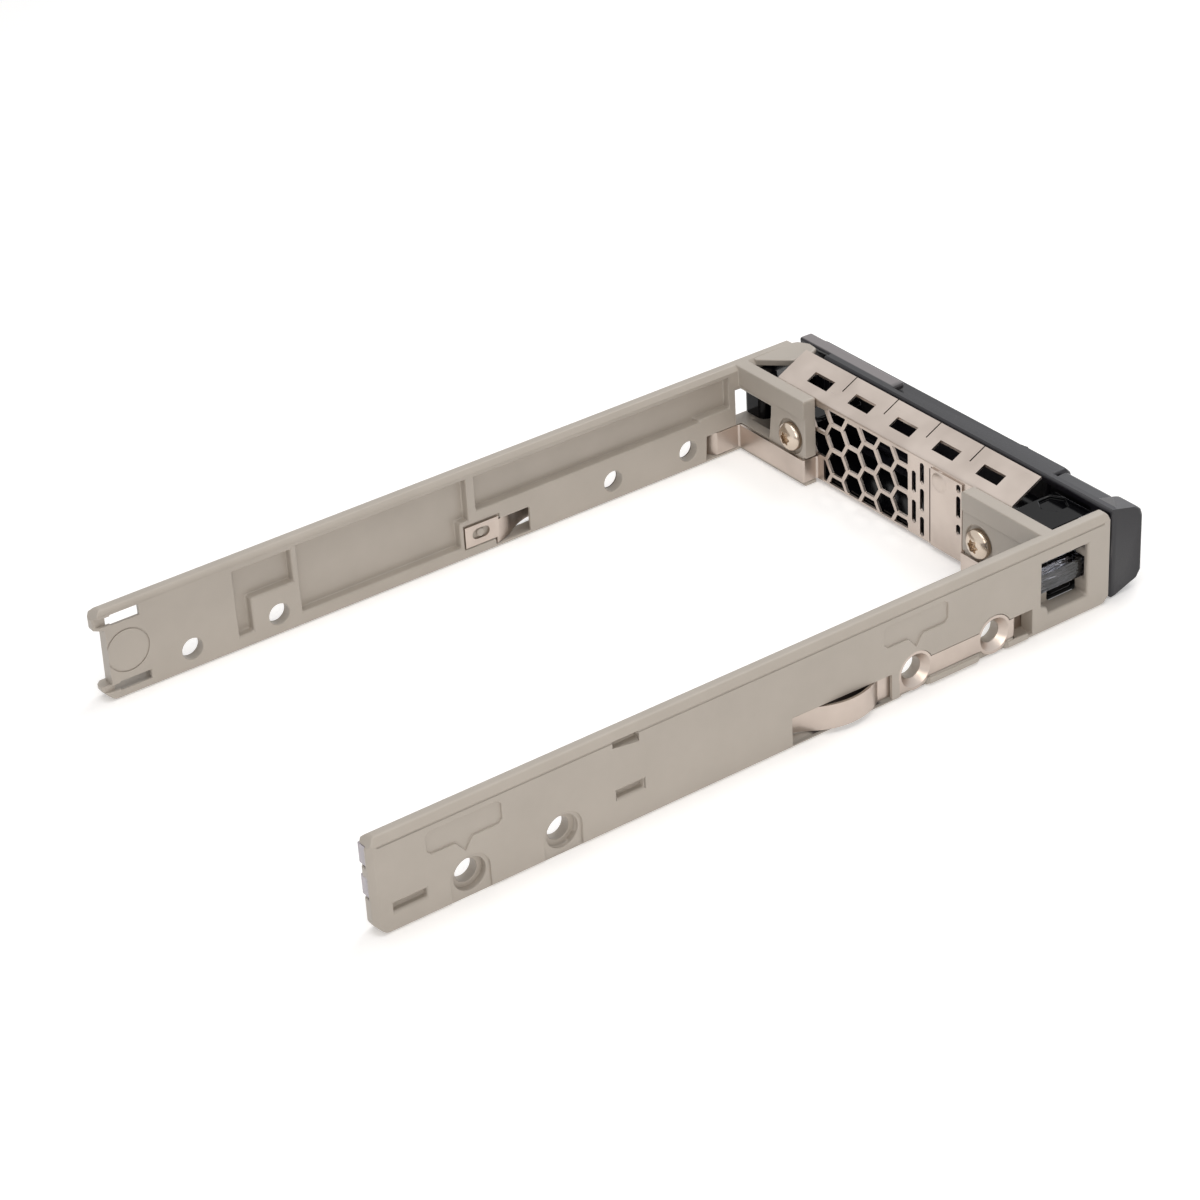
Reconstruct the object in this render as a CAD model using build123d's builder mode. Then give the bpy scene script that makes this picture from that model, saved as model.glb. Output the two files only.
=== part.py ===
from build123d import *
import math
import os

os.makedirs("parts", exist_ok=True)

# A carrier that slides one 2.5 inch drive into a server bay: two moulded rails, one folded
# stainless shield between them, and a black front with a swinging lever and a release button.
# X runs across, Z up, and the front faces -Y. The origin is the centre of the base rectangle.
# A distance called "forward" is counted from the rear ends of the rails towards the front.

# The drive that the carrier holds
drive_width = 69.85
drive_side_gap = 0.275
drive_hole_spacing = 76.6
drive_hole_height = 3.5
drive_hole_radius = 1.75

# Rails
rail_wall = 3.05
rail_front_reach = 22.5
rail_height = 15.2
rail_top_chamfer = 0.95
rail_step = 0.12
rail_inner_chamfer = 0.8
rail_bottom_chamfer = 0.4
rail_rear_corner = 1.8
rail_rear_top = 1.3
rail_front_corner = 1.3
rail_end_chamfer = 0.8
end_notch = 1.5
thin_wall = 0.5
first_hole = 15.0
second_hole_shift = 14.9
screw_recess_radius = 2.55
screw_recess_depth = 1.3
screw_slot_depth = 0.3
pocket_depth = 1.5
mark_depth = 0.3

# Folded sheet
sheet = 0.4
fit_gap = 0.1
strip_bottom = 0.8
strip_height = 3.95
lip_height = 1.6
lip_proud = 0.3
strip_depth = 0.15
pad_depth = 0.65
hook_length = 5.5
hook_lift = 1.1
bow_length = 11.4
bow_proud = 1.2
pad_length = 2.3
dish_radius = 3.15
dish_depth = 0.7

# Inward tabs at the front of the rails
tab_setback = 11.7
tab_thickness = 2.2
tab_length = 16.5
tab_band_height = 3.3
tab_band_proud = 0.25
tab_screw_inset = 12.8
tab_screw_hole = 1.3
tab_screw_recess = 2.95
tab_screw_recess_depth = 0.5
tab_window_lift = 0.3
tab_window_width = 7.7
tab_window_half = 3.0
left_window_width = 3.4

# Shield plate, honeycomb and sprung flange
plate_bottom = 0.4
plate_left_inset = 8.3
plate_right_inset = 6.9
hex_pitch = 4.5
hex_web = 0.6
hex_columns = 6
vent_slot_width = 0.95
honeycomb_cut_x = -3.5
flange_angle = 26.5
flange_reach = 5.9
lip_reach = 6.4
finger_centre = 0.6
finger_pitch = 10.0
finger_window = 4.8
finger_window_length = 1.9
finger_slit = 0.25
finger_slit_start = 2.9
band_left = -16.3
band_right = -9.2
band_raise = 0.3

# Front: bezel, lever and button
bezel_gap = 0.6
bezel_bottom = 0.2
bezel_wall = 1.3
bezel_inset = 0.75
end_block_width = 4.2
end_block_length = 6.6
boss_half = 3.3
cover_width = 23.5
cover_thickness = 0.9
cover_reach = 3.9
shelf_thickness = 0.9
floor_height = 0.95
housing_width = 8.0
housing_height = 13.3
housing_wall = 0.8
filler_depth = 1.6
part_gap = 0.3
lever_setback = 1.6
lever_depth = 3.7
lever_shell = 1.1
lever_face = 1.3
nose_width = 10.3
vent_columns = 9
vent_pitch = 4.2
vent_radius = 1.95
nose_proud = 1.5
nose_ramp = 7.0
pin_inset = 1.8
pin_setback = 1.0
pin_radius = 1.0
pin_clearance = 0.02
knuckle_radius = 2.3
running_gap = 0.05
ear_thickness = 1.1
ear_radius = 2.8
hook_reach = 8.1
hook_outward = 4.7
hook_half_height = 2.6
button_width = 10.2
button_stem_half = 2.0
stem_gap = 0.2
catch_half = 1.3
spring_length = 2.8

# Light pipes in the left rail
pipe_width = 1.7
pipe_height = 3.2
pipe_lower = 5.8
pipe_upper = 10.8
pipe_shift = 1.0
lens_length = 3.9
lens_height = 1.6

# Screws and springs
screw_head_radius = 2.4
screw_head_height = 1.9
screw_head_chamfer = 0.7
star_radius = 1.0
star_depth = 1.1
screw_shank_radius = 1.1
screw_length = 9.0
spring_wire = 0.4

# Worked out from the sizes above
half_bay = drive_width / 2 + drive_side_gap
half_width = half_bay + rail_wall
drive_holes = [first_hole, first_hole + second_hole_shift]
front_holes = [place + drive_hole_spacing for place in drive_holes]
rail_length = front_holes[1] + rail_front_reach
mid_height = rail_height / 2
tab_window_middle = mid_height + tab_window_lift
hook_rear = front_holes[0] - 28.2
hook_front = hook_rear + hook_length
window_front = hook_front + 6.6
bow_rear = hook_front + 4.5
bow_front = bow_rear + bow_length
pad_front = bow_front + pad_length
strip_top = strip_bottom + strip_height
strip_out = front_holes[1] + 3.7
strip_in = strip_out + 2.0
channel_depth = strip_depth + sheet + fit_gap
tab_face = rail_length - tab_setback
tab_back = tab_face + tab_thickness
tab_end = half_bay - tab_length
tab_screw_x = half_bay - tab_screw_inset
plate_face = tab_back + fit_gap
plate_left = plate_left_inset - half_bay
plate_right = half_bay - plate_right_inset
flange_bend_height = rail_height - 0.2
flange_front = plate_face + flange_reach
lip_front = plate_face + lip_reach
finger_window_front = plate_face + 3.6
finger_window_rear = finger_window_front - finger_window_length
bezel_back = rail_length + bezel_gap
bezel_top = rail_height - 0.1
bezel_left = bezel_inset - half_width
bezel_right = half_bay - 6.0
shelf_top = bezel_bottom + bezel_wall
end_block_right = bezel_left + end_block_width
end_block_front = bezel_back + end_block_length
lever_back = bezel_back + lever_setback
lever_front = lever_back + lever_depth
nose_front = lever_front + nose_proud
rear_y = nose_front / 2
button_left = end_block_right + part_gap
button_right = button_left + button_width
button_front = lever_front - 0.1
lever_left = button_right + 0.5
pin_x = half_bay - pin_inset
pin_forward = rail_length - pin_setback
lever_right = pin_x + 3.2
lever_bottom = shelf_top + part_gap
lever_top = rail_height - ear_thickness - 0.2
nose_right = lever_left + nose_width
cover_right = pin_x + 3.6
cover_left = cover_right - cover_width
cover_front = bezel_back + cover_reach
housing_rear = tab_back + 1.0
housing_left = end_block_right - 0.1
housing_right = housing_left + housing_width
stem_x = housing_left + housing_width / 2
ear_front = pin_forward + ear_radius
lever_spring_bottom = lever_top - spring_length - fit_gap
pipe_front = bezel_back + lens_length
stem_rear = housing_rear + 4.4
hook_shelf = lever_top - shelf_thickness


def side_plane(depth):
    """Upright plane in the left rail, at a depth from its outer face: x is forward, y is up."""
    return Plane(origin=(depth - half_width, rear_y, 0), x_dir=(0, -1, 0), z_dir=(-1, 0, 0))


def across_plane(forward):
    """Upright plane across the carrier, looking forward: x is across, y is up."""
    return Plane(origin=(0, rear_y - forward, 0), x_dir=(1, 0, 0), z_dir=(0, -1, 0))


def at(across, forward):
    """Point in plan, from a distance across and a distance forward."""
    return (across, rear_y - forward)


def area(low_x, high_x, low_y, high_y, mode=Mode.ADD):
    """Rectangle between four bounds, in the sketch that is open."""
    with Locations(((low_x + high_x) / 2, (low_y + high_y) / 2)):
        Rectangle(high_x - low_x, high_y - low_y, mode=mode)


def block(low_x, high_x, rear, front, bottom, top, mode=Mode.ADD):
    """Block between two bounds across, two distances forward and two heights."""
    with Locations(((low_x + high_x) / 2, rear_y - (rear + front) / 2, (bottom + top) / 2)):
        Box(high_x - low_x, front - rear, top - bottom, mode=mode)


# What both rails share, formed on the left
with BuildPart() as rail_form:
    with BuildSketch(side_plane(rail_wall)):
        with BuildLine():
            Polyline(
                (0, rail_rear_corner),
                (rail_rear_corner, 0),
                (rail_length - rail_front_corner, 0),
                (rail_length, rail_front_corner),
                (rail_length, rail_height - 0.4),
                (rail_length - 0.4, rail_height),
                (rail_rear_top, rail_height),
                (0, rail_height - rail_rear_top),
                close=True,
            )
        make_face()
    extrude(amount=rail_wall)
    long_edges = rail_form.edges().filter_by(Axis.Y)
    top_outer_edge, top_inner_edge = long_edges.group_by(Axis.Z)[-1].sort_by(Axis.X)
    bottom_edges = long_edges.group_by(Axis.Z)[0]
    rear_edges = rail_form.edges().filter_by(Axis.Z).group_by(Axis.Y)[-1]
    chamfer(top_outer_edge, length=rail_top_chamfer)
    chamfer(top_inner_edge, length=rail_inner_chamfer)
    chamfer(bottom_edges, length=rail_bottom_chamfer)
    chamfer(rear_edges, length=rail_end_chamfer)

    # Fine step under the chamfer along the outer face
    with BuildSketch(side_plane(0)):
        step_top = rail_height - rail_top_chamfer - 0.05
        area(rail_rear_top, rail_length - rail_front_corner, step_top - 0.35, step_top)
    extrude(amount=-rail_step, mode=Mode.SUBTRACT)

    # Inward tab that carries the shield and the bezel
    block(-half_bay - 1, -tab_end, tab_face, tab_back, 0, rail_height)
    block(
        -tab_end - sheet - fit_gap, -tab_end + 1, tab_face - 1, tab_back + 1,
        strip_bottom - fit_gap, strip_top + fit_gap, mode=Mode.SUBTRACT,
    )
    block(
        -half_bay - 1, -tab_end, tab_face - tab_band_proud, tab_face + 1,
        rail_height - tab_band_height, rail_height,
    )
    with BuildSketch(across_plane(tab_face)):
        with Locations((-tab_screw_x, mid_height)):
            Circle(tab_screw_recess)
    extrude(amount=tab_screw_recess_depth, mode=Mode.SUBTRACT)
    with BuildSketch(across_plane(tab_face)):
        with Locations((-tab_screw_x, mid_height)):
            Circle(tab_screw_hole)
    extrude(amount=tab_thickness, mode=Mode.SUBTRACT)
    block(
        -half_bay - 0.1, tab_window_width - half_bay, tab_face - 1, tab_back + 1,
        tab_window_middle - tab_window_half, tab_window_middle + tab_window_half, mode=Mode.SUBTRACT,
    )

    # Drive screw holes, the rear pair with recesses that run out of the bottom edge
    with BuildSketch(side_plane(0)):
        with Locations(*[(place, drive_hole_height) for place in drive_holes + front_holes]):
            Circle(drive_hole_radius)
    extrude(amount=-rail_wall, mode=Mode.SUBTRACT)
    with BuildSketch(side_plane(0)):
        with Locations(*[(place, drive_hole_height) for place in drive_holes]):
            Circle(screw_recess_radius)
    extrude(amount=-screw_recess_depth, mode=Mode.SUBTRACT)
    with BuildSketch(side_plane(0)):
        for place in drive_holes:
            with Locations((place, drive_hole_height)):
                Circle(screw_recess_radius + 0.6)
            area(place - screw_recess_radius - 0.6, place + screw_recess_radius + 0.6, -1, drive_hole_height)
    extrude(amount=-screw_slot_depth, mode=Mode.SUBTRACT)

    # Channel for the flat strip on the outer face, with seats for its two dishes
    with BuildSketch(side_plane(0)):
        area(front_holes[0], strip_in + 1.6, lip_height, strip_top + fit_gap)
        area(pad_front + 1.4, front_holes[0], strip_bottom - fit_gap, strip_top + fit_gap)
        for place in front_holes:
            with Locations((place, drive_hole_height)):
                Circle(dish_radius + fit_gap)
            area(place - 2.8, place + 2.2, -1, drive_hole_height)
    extrude(amount=-channel_depth, mode=Mode.SUBTRACT)
    with BuildSketch(side_plane(0)):
        with Locations(*[(place, drive_hole_height) for place in front_holes]):
            RegularPolygon(dish_radius + fit_gap, 12)
    extrude(amount=-channel_depth - dish_depth, mode=Mode.SUBTRACT)
    with BuildSketch(side_plane(pad_depth - fit_gap)):
        area(pad_front - 0.1, pad_front + 2.4, strip_bottom - fit_gap, strip_top + fit_gap)
    extrude(amount=-sheet - 2 * fit_gap, mode=Mode.SUBTRACT)

    # Lower lips under the strip stand a little proud of the outer face
    for lip_rear, lip_front_end in (
        (front_holes[0] + 2.4, front_holes[1] - 3.4), (front_holes[1] + 2.4, strip_in + 0.6),
    ):
        block(
            -half_width - lip_proud, -half_width + 1.4, lip_rear, lip_front_end,
            rail_bottom_chamfer, lip_height - 0.2,
        )

    # Pocket for the bow spring, the window under it, and the seat of the hook inside
    with BuildSketch(side_plane(0)):
        area(hook_front + 0.1, pad_front, strip_bottom - 0.3, strip_top + fit_gap)
    extrude(amount=thin_wall - rail_wall, mode=Mode.SUBTRACT)
    with BuildSketch(side_plane(0)):
        area(hook_front + 0.1, window_front, strip_bottom - fit_gap, strip_top + fit_gap)
    extrude(amount=-rail_wall, mode=Mode.SUBTRACT)
    with BuildSketch(side_plane(rail_wall)):
        area(hook_rear - 0.2, hook_front + 1.0, strip_bottom + hook_lift - 0.2, strip_top + hook_lift)
    extrude(amount=sheet + fit_gap, mode=Mode.SUBTRACT)
    with BuildSketch(side_plane(rail_wall)):
        with Locations((hook_rear + 2.9, strip_bottom + hook_lift + 1.9)):
            RegularPolygon(0.75, 8)
    extrude(amount=sheet + fit_gap + 0.1)

    # Window where the strip comes back inside, and its channel up to the corner
    with BuildSketch(side_plane(0)):
        area(strip_out - 0.1, strip_in + 1.6, strip_bottom - fit_gap, strip_top + fit_gap)
    extrude(amount=-rail_wall, mode=Mode.SUBTRACT)
    with BuildSketch(side_plane(rail_wall)):
        area(strip_in - 1.0, tab_face, strip_bottom - fit_gap, strip_top + fit_gap)
    extrude(amount=sheet + fit_gap, mode=Mode.SUBTRACT)

    # Moulded flags over the first hole of each pair, each a bar with a pointer
    for tip in (drive_holes[0] - 0.6, front_holes[0] - 0.1):
        rear = tip - 5.7
        front = tip + 6.1
        low = mid_height + 1.8
        high = low + 3.6
        tip_low = mid_height - 0.1
        with BuildSketch(side_plane(0)) as flag:
            area(rear, front, low, high)
            chamfer(flag.vertices(), length=0.6)
            with BuildLine():
                Polyline((tip - 1.6, low + 0.4), (tip + 1.6, low + 0.4), (tip + 0.2, tip_low), close=True)
            make_face()
        extrude(amount=-mark_depth, mode=Mode.SUBTRACT)


# Left rail, with the light pipe channels inside and the stepped window at its front
with BuildPart() as left_rail:
    add(rail_form.part)
    with BuildSketch(side_plane(rail_wall)):
        for low in (pipe_lower, pipe_upper):
            area(-1, rail_length + 1, low - fit_gap, low + pipe_height + fit_gap)
    extrude(amount=pipe_width + 2 * fit_gap, mode=Mode.SUBTRACT)
    block(
        left_window_width - half_bay, tab_window_width + 0.1 - half_bay, tab_face, tab_back,
        tab_window_middle - tab_window_half - 0.1, tab_window_middle + tab_window_half + 0.1,
    )
    with BuildSketch(side_plane(0)):
        area(2.9, 8.2, 3.1, 4.4)
        area(38.6, 43.0, rail_height - 2.3, rail_height - 1.0)
        area(39.0, 43.4, 4.8, 6.1)
    extrude(amount=-1.1, mode=Mode.SUBTRACT)
    with BuildSketch(side_plane(0)):
        with BuildLine():
            Polyline(
                (tab_face - 1.7, rail_height - 3.4),
                (tab_face + 7.3, rail_height - 3.4),
                (tab_face + 7.3, 3.0),
                (tab_face - 0.2, 3.0),
                (tab_face - 0.6, 4.1),
                (tab_face - 1.7, 4.7),
                close=True,
            )
        make_face()
    extrude(amount=-rail_wall, mode=Mode.SUBTRACT)
left_rail.part.label = "left_rail"

# Right rail, finished on the left and mirrored: pockets inside and a fork round the lever
with BuildPart() as right_rail_form:
    add(rail_form.part)
    with BuildSketch(side_plane(rail_wall)):
        area(23.0, 32.9, 2.3, rail_height - 1.8)
        area(25.4, 32.9, 1.0, 8.0, mode=Mode.SUBTRACT)
        area(33.9, hook_rear - 0.9, 2.3, rail_height - 1.4)
        area(33.9, hook_rear + 0.8, 6.6, rail_height - 1.4)
        area(hook_rear + 2.4, strip_out - 1.4, 7.8, rail_height - 1.5)
        area(strip_out - 2.0, tab_face - 2.3, 8.3, rail_height - 1.5)
    extrude(amount=pocket_depth, mode=Mode.SUBTRACT)
    with BuildSketch(side_plane(rail_wall)):
        area(2.6, 7.3, rail_height - 2.7, rail_height - 0.9)
        area(2.8, 7.9, 1.4, 2.9)
        area(-1, end_notch, 2.6, rail_height - 3.1)
    extrude(amount=rail_wall, mode=Mode.SUBTRACT)
    with BuildSketch(side_plane(0)):
        area(2.0, 8.4, rail_height - 5.4, rail_height - 0.6)
        area(2.0, 8.4, 1.1, 3.6)
    extrude(amount=thin_wall - rail_wall, mode=Mode.SUBTRACT)
    with BuildSketch(side_plane(0)):
        area(-1, 8.4, 2.6, rail_height - 3.1)
    extrude(amount=-1.0, mode=Mode.SUBTRACT)
    with BuildSketch(side_plane(rail_wall)):
        area(-1, 3.0, rail_height - 2.5, rail_height - 1.1)
        area(-1, 3.0, 1.6, 2.7)
    extrude(amount=mark_depth * 2, mode=Mode.SUBTRACT)
    with BuildSketch(side_plane(rail_wall)):
        with Locations((4.7, mid_height)):
            Circle(3.6)
            Circle(3.35, mode=Mode.SUBTRACT)
    extrude(amount=mark_depth / 2, mode=Mode.SUBTRACT)

    # Level plates that carry the hinge pin above and below the lever
    for plate_low in (0, rail_height - ear_thickness):
        with BuildSketch(Plane.XY.offset(plate_low)):
            with BuildLine():
                Polyline(
                    at(-half_bay - 0.5, tab_back + 1.1),
                    at(-half_bay, tab_back + 1.1),
                    at(-pin_x + 2.4, pin_forward - 3.0),
                    at(-pin_x + 2.5, pin_forward + 0.6),
                    at(-pin_x + 1.4, ear_front - 0.2),
                    at(-pin_x - 0.4, ear_front),
                    at(-pin_x - 2.0, ear_front - 0.8),
                    at(-half_bay - 0.8, pin_forward + 0.4),
                    close=True,
                )
            make_face()
        extrude(amount=ear_thickness)
    with BuildSketch():
        with Locations(at(-pin_x, pin_forward)):
            Circle(pin_radius + pin_clearance)
    extrude(amount=rail_height - ear_thickness / 2, mode=Mode.SUBTRACT)

    # Openings for the latch hook: a window through the wall, and the fork at the end
    with BuildSketch(side_plane(0)):
        area(
            tab_face - 1.1, rail_length - 2,
            tab_window_middle - tab_window_half, tab_window_middle + tab_window_half,
        )
        area(tab_face + 7.3, rail_length + 1, ear_thickness, rail_height - ear_thickness)
    extrude(amount=-rail_wall, mode=Mode.SUBTRACT)

with BuildPart() as right_rail:
    mirror(right_rail_form.part, about=Plane.YZ)
right_rail.part.label = "right_rail"

# The shield: plate, sprung flange and bottom lip are one profile
with BuildPart() as emi_shield:
    flange_height = (flange_front - plate_face) * math.tan(math.radians(flange_angle))
    with BuildSketch(Plane(origin=(plate_right, rear_y, 0), x_dir=(0, -1, 0), z_dir=(-1, 0, 0))):
        with BuildLine():
            FilletPolyline(
                (lip_front, plate_bottom),
                (plate_face, plate_bottom),
                (plate_face, flange_bend_height),
                (flange_front, flange_bend_height + flange_height),
                radius=0.7,
            )
            offset(amount=sheet, side=Side.RIGHT)
        make_face()
    extrude(amount=plate_right - plate_left)

    # Sprung fingers: a window behind each, and slits between them
    slit_rear = plate_face + finger_slit_start
    with BuildSketch(Plane.XY.offset(flange_bend_height + 0.5)):
        for step in (-2, -1, 0, 1, 2):
            middle = finger_centre + step * finger_pitch
            area(
                middle - finger_window / 2, middle + finger_window / 2,
                rear_y - finger_window_front, rear_y - finger_window_rear,
            )
        for step in (-1.5, -0.5, 0.5, 1.5):
            middle = finger_centre + step * finger_pitch
            area(
                middle - finger_slit / 2, middle + finger_slit / 2,
                rear_y - flange_front - 1, rear_y - slit_rear,
            )
    extrude(amount=flange_height + 1, mode=Mode.SUBTRACT)

    # Joggled band beside the left screw, with relief slits and a dimple
    band_face = plate_face - band_raise
    band_back = band_face + sheet
    band_low = plate_bottom + 0.5
    band_high = rail_height - 0.9
    block(band_left, band_right, band_face, band_back, band_low, band_high)
    block(
        band_left + 0.3, band_right - 0.3, band_back, plate_face + 1, band_low + 0.3, band_high - 0.3,
        mode=Mode.SUBTRACT,
    )
    for slit_low, slit_high in ((band_low, band_low + 1.1), (band_high - 1.3, band_high)):
        block(
            band_right, band_right + 0.3, band_face, plate_face + 1, slit_low, slit_high, mode=Mode.SUBTRACT,
        )

    # Honeycomb, cut off straight at the left, top and bottom
    hex_radius = (hex_pitch - hex_web) / math.sqrt(3)
    with BuildSketch(across_plane(plate_face - 1)):
        for column in range(hex_columns):
            hex_x = tab_end - 1.0 - column * hex_pitch * 0.88
            for row in range(-2, 3):
                hex_z = mid_height - 0.3 + (row + 0.5 * (column % 2)) * hex_pitch
                with Locations((hex_x, hex_z)):
                    RegularPolygon(hex_radius, 6)
        area(honeycomb_cut_x, tab_end + 2, plate_bottom + 0.7, rail_height - 1.0, mode=Mode.INTERSECT)
        area(tab_end - sheet - 0.9, tab_end + 2, 0, strip_top + 0.5, mode=Mode.SUBTRACT)
    extrude(amount=3, mode=Mode.SUBTRACT)

    # Upright slots beside it, and the holes for the two screws and the window
    with BuildSketch(across_plane(plate_face - 1)) as slots:
        for slot_x, slot_low, slot_high in (
            (-4.9, 8.0, 11.9), (-4.9, 2.8, 6.8), (-6.8, 10.3, 14.0), (-6.8, 5.5, 9.5), (-6.8, 1.2, 4.6),
            (-15.5, 12.6, 14.0), (-15.5, 8.1, 12.0), (-15.5, 5.3, 7.1),
        ):
            area(slot_x - vent_slot_width / 2, slot_x + vent_slot_width / 2, slot_low, slot_high)
        chamfer(slots.vertices(), length=vent_slot_width * 0.3)
        for side in (-1, 1):
            with Locations((side * tab_screw_x, mid_height)):
                Circle(tab_screw_hole)
    extrude(amount=3, mode=Mode.SUBTRACT)

    # Side strips: forward from the hook, round the bow, past the dishes, in and along the tab
    strip_x = -half_width + strip_depth + sheet
    pad_x = -half_width + pad_depth + sheet
    for side in (-1, 1):
        with BuildSketch(Plane.XY.offset(strip_bottom)) as strip:
            with BuildLine():
                FilletPolyline(
                    at(sheet + 1.3 - tab_end, plate_face),
                    at(-tab_end, plate_face),
                    at(-tab_end, tab_face - fit_gap - sheet),
                    at(-half_bay, tab_face - fit_gap - sheet),
                    at(-half_bay, strip_in),
                    at(strip_x, strip_out),
                    at(strip_x, pad_front + 1.7),
                    at(pad_x, pad_front + 1.0),
                    at(pad_x, bow_front),
                    radius=0.4,
                )
                ThreePointArc(
                    at(pad_x, bow_front),
                    at(-half_width - bow_proud + sheet, (bow_front + bow_rear) / 2),
                    at(pad_x, bow_rear),
                )
                Polyline(
                    at(pad_x, bow_rear), at(-half_bay - 0.9, bow_rear - 1.6), at(-half_bay, hook_front + 0.3),
                )
                offset(amount=sheet, side=Side.LEFT)
            make_face()
            if side > 0:
                mirror(about=Plane.YZ, mode=Mode.REPLACE)
        extrude(amount=strip_height)

        # Hook at the rear end, with an oval hole over the boss on the rail
        hook_x = side * (half_bay + sheet / 2)
        hook_bottom = strip_bottom + hook_lift
        hook_top = hook_bottom + strip_height - 0.4
        block(hook_x - sheet / 2, hook_x + sheet / 2, hook_rear, hook_front + 0.7, hook_bottom, hook_top)
        with BuildSketch(Plane(origin=(hook_x, rear_y, 0), x_dir=(0, -1, 0), z_dir=(-1, 0, 0))):
            with Locations((hook_rear + 2.9, hook_bottom + 1.9)):
                SlotOverall(3.2, 1.8)
        extrude(amount=sheet, both=True, mode=Mode.SUBTRACT)

        # The strip is narrower above the lower lips of the rail
        for lip_rear, lip_front_end in (
            (front_holes[0] + 1.8, front_holes[1] - 1.8), (front_holes[1] + 1.8, strip_out + 0.2),
        ):
            block(
                side * half_width - 1.4, side * half_width + 1.4, lip_rear, lip_front_end,
                0, lip_height + fit_gap, mode=Mode.SUBTRACT,
            )

        # Dished seats for the two front drive screws: a funnel turned about each hole
        for place in front_holes:
            hole_point = (side * (half_width - strip_depth), rear_y - place, drive_hole_height)
            with BuildSketch(Plane(origin=hole_point, x_dir=(0, -1, 0), z_dir=(0, 0, -side))):
                with BuildLine():
                    Polyline(
                        (dish_radius, 0),
                        (dish_radius, sheet),
                        (drive_hole_radius + 0.5, sheet + dish_depth),
                        (drive_hole_radius, sheet + dish_depth),
                        (dish_radius - 0.45, 0),
                        close=True,
                    )
                make_face()
            dish_axis = Axis(hole_point, (1, 0, 0))
            with BuildSketch(Plane(origin=hole_point, x_dir=(0, -1, 0), z_dir=(-side, 0, 0))) as clearing:
                Circle(dish_radius - 0.45)
            extrude(clearing.sketch, amount=sheet + 0.3, both=True, mode=Mode.SUBTRACT)
            revolve(axis=dish_axis)
emi_shield.part.label = "emi_shield"

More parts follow.
